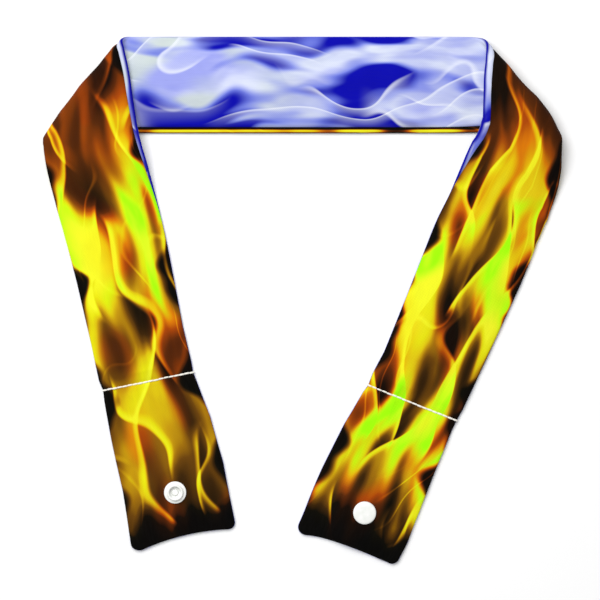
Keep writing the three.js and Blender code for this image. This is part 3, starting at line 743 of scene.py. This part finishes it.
def row_point(arm, across, above):
    section = {name: float(value) for name, value in section_at(arm, np.array(arm["filled"])).items()}
    side = -1.0 if above else 1.0
    reach = section["inner"] if across > 0 else section["outer"]
    inset = max(abs(across) - (reach - NOSE), 0)
    drop = NOSE - math.sqrt(max(NOSE**2 - min(inset, NOSE)**2, 0))
    pinch = ROW_PINCH_ABOVE if above else ROW_PINCH_BELOW
    height = TAB_THICKNESS / 2 - pinch - drop + THREAD_RADIUS - ROW_SINK
    place = np.array(arm["filled"])
    return Vector(lay(arm, section, place, np.array(across), np.array(side * height)))


def make_stitch(name):
    """One stitch, thick in its middle, that dips into the cloth at both ends."""
    bpy.ops.object.select_all(action="DESELECT")
    bpy.ops.mesh.primitive_uv_sphere_add(segments=10, ring_count=9, radius=THREAD_RADIUS)
    stitch = bpy.context.object
    stitch.name = name
    bpy.ops.object.mode_set(mode="EDIT")
    bpy.ops.mesh.select_all(action="SELECT")
    bpy.ops.transform.rotate(value=math.pi / 2, orient_axis="Y", center_override=(0, 0, 0))
    bpy.ops.transform.resize(value=(STITCH_LENGTH / THREAD_RADIUS / 2, 1, 1), center_override=(0, 0, 0))
    bpy.ops.object.mode_set(mode="OBJECT")
    for vertex in stitch.data.vertices:
        share = vertex.co.x / (STITCH_LENGTH / 2)
        narrowing = math.sqrt(1 - min(share**2, 0.99))
        vertex.co.y /= max(narrowing, STITCH_BLUNTNESS) ** 0.7
        vertex.co.z -= STITCH_DIP * share**4
    return stitch


def stitch_row(arm, name, seed):
    master = make_stitch(name)
    section = section_at(arm, np.array(arm["filled"]))
    low, high = -float(section["outer"]) - TAIL_OUT, float(section["inner"]) + TAIL_OUT
    count = round((high - low) / STITCH_LENGTH)
    spacing = (high - low) / count
    copies = []
    for above in (True, False):
        for number in range(count):
            across = low + spacing * (number + 0.5)
            before = row_point(arm, across - spacing / 2, above)
            after = row_point(arm, across + spacing / 2, above)
            run = (after - before).normalized()
            up = Vector((0, 0, 1.0 if above else -1.0))
            cross = up.cross(run).normalized()
            lift = run.cross(cross)
            wobble = STITCH_WOBBLE * noise.noise(Vector((number * 1.7, seed, 0.5)))
            middle = row_point(arm, across, above) + cross * wobble
            thick = 1 + THREAD_UNEVEN * noise.noise(Vector((number * 2.3, seed, 3.5)))
            stretch = spacing * STITCH_OVERLAP / STITCH_LENGTH
            pressed = 1.0 if above else UNDERSIDE_PRESS
            turned = Matrix((run * stretch, cross * thick, lift * thick * pressed)).transposed()
            copy = bpy.data.objects.new(name, master.data.copy())
            copy.data.transform(Matrix.Translation(middle) @ turned.to_4x4())
            for vertex in copy.data.vertices:
                vertex.co.z = max(vertex.co.z, THREAD_ABOVE_TABLE)
            bpy.context.scene.collection.objects.link(copy)
            copies.append(copy)
    bpy.ops.object.select_all(action="DESELECT")
    for copy in copies:
        copy.select_set(True)
    bpy.context.view_layer.objects.active = copies[0]
    bpy.ops.object.join()
    row = copies[0]
    bpy.data.objects.remove(master)
    row.name = name
    bpy.ops.object.shade_smooth()
    return row


left_stitches = stitch_row(left_arm, "left_stitches", 1.0)
right_stitches = stitch_row(right_arm, "right_stitches", 6.0)


def body_noise(tree, scale):
    """A noise in the piece itself, in blots of one over the scale."""
    place = tree.nodes.new("ShaderNodeTexCoord")
    node = tree.nodes.new("ShaderNodeTexNoise")
    node.inputs["Scale"].default_value = scale
    tree.links.new(place.outputs["Object"], node.inputs["Vector"])
    return node.outputs["Fac"]


# Two cream plies that wind round each other along the thread, with a little fuzz
# The plies' colours: painted shade in the grooves between them and painted light on their crests
PLY_PAINTED_SHADE = (0.78, 0.75, 0.66, 1)
PLY_PAINTED_LIGHT = (0.93, 0.91, 0.84, 1)
sewing_thread, tree, surface = new_material("cream_sewing_thread")
round_thread, down_thread = map_places(tree, "UVMap")
winding = reckon(tree, "MULTIPLY_ADD", down_thread, 5.0, reckon(tree, "MULTIPLY", round_thread, 2.0))
twist = reckon(tree, "SINE", reckon(tree, "MULTIPLY", winding, 2 * math.pi))
ply_crest = rise(tree, twist, -1.0, 1.0)
fuzz = body_noise(tree, 2500)
# Lighter on each ply's crest, darker in the grooves: painted light and shade of the twist
feed(tree, surface.inputs["Base Color"], mix_colour(tree, ply_crest, PLY_PAINTED_SHADE, PLY_PAINTED_LIGHT))
feed(tree, surface.inputs["Roughness"], rise(tree, fuzz, 0.3, 0.7, 0.6, 0.8))
surface.inputs["Sheen Weight"].default_value = 0.2
add_bump(tree, surface, reckon(tree, "MULTIPLY_ADD", fuzz, 0.5, ply_crest), 0.7, 0.00008)
for row in (left_stitches, right_stitches):
    row.data.materials.clear()
    row.data.materials.append(sewing_thread)
    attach(row, "root")


# The snaps: white resin press snaps, pressed through both panels from either side. The left tab has the
# socket on its upper face and a plain cap below, the right tab the cap above and the stud below. A pin from
# each cap goes through the cloth, and its end is pressed into a flat head inside the other half.
SNAP_SIDES = 64
EDGE_ROUNDING = 0.00009
SHARP_ANGLE = math.radians(35)
FIT_GAP = 0.0003
CAP_RADIUS = 0.0062
CAP_THICKNESS = 0.0015
PIN_RADIUS = 0.001
PIN_HEAD_RADIUS = 0.0017
SOCKET_RADIUS = 0.006
SOCKET_HEIGHT = 0.0026
WELL_RADIUS = 0.0032
WELL_FLOOR = 0.0004
COLLAR_RADIUS = 0.0043
STUD_RADIUS = 0.00535
STUD_HEIGHT = 0.0032
KNOB_RADIUS = 0.0029
STUD_DISH = 0.0005


def turn_up(name, rings):
    """A round piece: a disc, and one ring after another drawn up from it and sized."""
    (radius, height), *others = rings
    bpy.ops.object.select_all(action="DESELECT")
    bpy.ops.mesh.primitive_circle_add(
        vertices=SNAP_SIDES, radius=radius, fill_type="NGON", location=(0, 0, height))
    piece = bpy.context.object
    piece.name = name
    bpy.ops.object.transform_apply(location=True, rotation=False, scale=False)
    bpy.ops.object.mode_set(mode="EDIT")
    bpy.ops.mesh.select_mode(type="FACE")
    bpy.ops.mesh.select_all(action="SELECT")
    for ring_radius, ring_height in others:
        step_up = (0, 0, ring_height - height)
        bpy.ops.mesh.extrude_region_move(TRANSFORM_OT_translate={"value": step_up})
        share = ring_radius / radius
        bpy.ops.transform.resize(value=(share, share, 1), center_override=(0, 0, 0))
        radius, height = ring_radius, ring_height
    return piece


def open_bore(piece):
    """The hole for the pin, between the round faces in the middle of the base and of the floor."""
    bpy.ops.mesh.select_all(action="DESELECT")
    shape = bmesh.from_edit_mesh(piece.data)
    for face in shape.faces:
        face.select = len(face.verts) == SNAP_SIDES
    bmesh.update_edit_mesh(piece.data)
    bpy.ops.mesh.bridge_edge_loops()


def seat_snap(piece, place, turned_over):
    """Rounds the edges of a snap piece and puts it on the cloth at its place."""
    bpy.ops.mesh.select_all(action="SELECT")
    bpy.ops.mesh.normals_make_consistent(inside=False)
    bpy.ops.object.mode_set(mode="OBJECT")
    bevel = piece.modifiers.new("rounded", "BEVEL")
    bevel.width = EDGE_ROUNDING
    bevel.segments = 2
    bevel.limit_method = "ANGLE"
    bevel.angle_limit = SHARP_ANGLE
    bpy.ops.object.modifier_apply(modifier="rounded")
    bpy.ops.object.shade_smooth_by_angle(angle=SHARP_ANGLE)
    piece.rotation_euler = (math.pi if turned_over else 0, 0, 0)
    piece.location = place
    bpy.ops.object.transform_apply(location=True, rotation=True, scale=False)


def cap_rings(floor):
    """A cap, and its pin down to the pressed head, for a half with its floor at a height."""
    under = -TAB_THICKNESS - floor - FIT_GAP * 3
    return (
        (PIN_HEAD_RADIUS * 0.8, under - 0.0005), (PIN_HEAD_RADIUS, under - 0.00025),
        (PIN_HEAD_RADIUS, under), (PIN_RADIUS, under), (PIN_RADIUS, 0),
        (CAP_RADIUS * 0.94, 0), (CAP_RADIUS * 0.985, 0.0002),
        (CAP_RADIUS, CAP_THICKNESS * 0.3), (CAP_RADIUS * 0.985, CAP_THICKNESS * 0.47),
        (CAP_RADIUS * 0.95, CAP_THICKNESS * 0.63), (CAP_RADIUS * 0.88, CAP_THICKNESS * 0.77),
        (CAP_RADIUS * 0.76, CAP_THICKNESS * 0.88), (CAP_RADIUS * 0.55, CAP_THICKNESS * 0.955),
        (CAP_RADIUS * 0.3, CAP_THICKNESS * 0.99), (CAP_RADIUS * 0.1, CAP_THICKNESS),
    )


def snap_place(node, height):
    """The place of a snap half: the middle of its solid, at a height that is reckoned from its box."""
    low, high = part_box(node)
    return ((low[0] + high[0]) / 2, (low[1] + high[1]) / 2, height(low[2], high[2]))


left_socket = turn_up("left_socket", (
    (PIN_BORE, 0), (SOCKET_RADIUS * 0.95, 0), (SOCKET_RADIUS, 0.00035), (SOCKET_RADIUS * 0.995, 0.0006),
    (SOCKET_RADIUS * 0.965, 0.00085), (SOCKET_RADIUS * 0.9, 0.00098), (COLLAR_RADIUS * 1.1, 0.001),
    (COLLAR_RADIUS * 1.02, 0.00112), (COLLAR_RADIUS, 0.0013), (COLLAR_RADIUS, SOCKET_HEIGHT - 0.00025),
    (COLLAR_RADIUS - 0.00025, SOCKET_HEIGHT), (WELL_RADIUS + 0.0003, SOCKET_HEIGHT),
    (WELL_RADIUS + 0.0001, SOCKET_HEIGHT - 0.0002), (WELL_RADIUS - 0.00015, SOCKET_HEIGHT - 0.0006),
    (WELL_RADIUS + 0.0001, SOCKET_HEIGHT - 0.0011), (WELL_RADIUS, WELL_FLOOR), (PIN_BORE, WELL_FLOOR)))
open_bore(left_socket)
seat_snap(left_socket, snap_place("left_snap_socket", lambda low, high: low), False)

left_cap = turn_up("left_cap", cap_rings(WELL_FLOOR))
seat_snap(left_cap, snap_place("left_snap_cap", lambda low, high: low + CAP_THICKNESS), True)

right_cap = turn_up("right_cap", cap_rings(STUD_DISH))
seat_snap(right_cap, snap_place("right_snap_cap", lambda low, high: high - CAP_THICKNESS), False)

right_stud = turn_up("right_stud", (
    (PIN_BORE, 0), (STUD_RADIUS * 0.95, 0), (STUD_RADIUS, 0.0004), (STUD_RADIUS * 0.95, 0.0008),
    (KNOB_RADIUS * 1.15, 0.00095), (KNOB_RADIUS * 0.98, 0.0011), (KNOB_RADIUS * 0.9, 0.0017),
    (KNOB_RADIUS * 0.96, 0.0022), (KNOB_RADIUS, 0.0026), (KNOB_RADIUS * 0.97, 0.0030),
    (KNOB_RADIUS * 0.9, STUD_HEIGHT), (KNOB_RADIUS - 0.0007, STUD_HEIGHT),
    (KNOB_RADIUS - 0.0008, STUD_DISH), (PIN_BORE, STUD_DISH)))
open_bore(right_stud)
seat_snap(right_stud, snap_place("right_snap_stud", lambda low, high: high), True)

# White acetal resin, moulded: satin, with faint flow marks and a fine orange-peel skin
RESIN_SHADE = (0.8, 0.82, 0.78, 1)
RESIN_LIGHT = (0.88, 0.88, 0.86, 1)
snap_resin, tree, surface = new_material("white_moulded_resin")
flow = body_noise(tree, 300)
resin_colour = mix_colour(tree, rise(tree, flow, 0.3, 0.7), RESIN_SHADE, RESIN_LIGHT)
feed(tree, surface.inputs["Base Color"], resin_colour)
feed(tree, surface.inputs["Roughness"], rise(tree, flow, 0.2, 0.8, 0.26, 0.4))
add_bump(tree, surface, body_noise(tree, 3500), 0.3, 0.00002)
for piece, node in (
        (left_socket, "left_snap_socket"), (left_cap, "left_snap_cap"),
        (right_cap, "right_snap_cap"), (right_stud, "right_snap_stud")):
    piece.data.materials.append(snap_resin)
    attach(piece, "root")
    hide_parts(node)


# The table: a plain pale sheet, a white studio round it and one large soft light from above.
TABLE_SIZE = 6.0
PALE_PAPER = (0.9, 0.9, 0.9, 1)
STUDIO_WHITE = (1, 1, 1, 1)
STUDIO_STRENGTH = 0.5
SOFTBOX_WIDTH = 1.6
SOFTBOX_DEPTH = 1.0
SOFTBOX_WATTS = 26
SOFTBOX_PLACE = (-0.5, 0.7, 1.3)
bpy.ops.object.select_all(action="DESELECT")
bpy.ops.mesh.primitive_plane_add(size=TABLE_SIZE, location=(0, 0, 0))
table = bpy.context.object
table.name = "table"
table_paper, tree, surface = new_material("table_paper")
surface.inputs["Base Color"].default_value = PALE_PAPER
surface.inputs["Roughness"].default_value = 0.8
table.data.materials.append(table_paper)

world = bpy.data.worlds.new("studio")
world.use_nodes = True
background = world.node_tree.nodes["Background"]
background.inputs["Color"].default_value = STUDIO_WHITE
background.inputs["Strength"].default_value = STUDIO_STRENGTH
bpy.context.scene.world = world
bpy.context.scene.view_settings.view_transform = "Standard"
softbox_data = bpy.data.lights.new("softbox", "AREA")
softbox_data.shape = "RECTANGLE"
softbox_data.size = SOFTBOX_WIDTH
softbox_data.size_y = SOFTBOX_DEPTH
softbox_data.energy = SOFTBOX_WATTS
softbox = bpy.data.objects.new("softbox", softbox_data)
softbox.location = SOFTBOX_PLACE
softbox.rotation_euler = (-softbox.location).to_track_quat("-Z", "Y").to_euler()
bpy.context.scene.collection.objects.link(softbox)
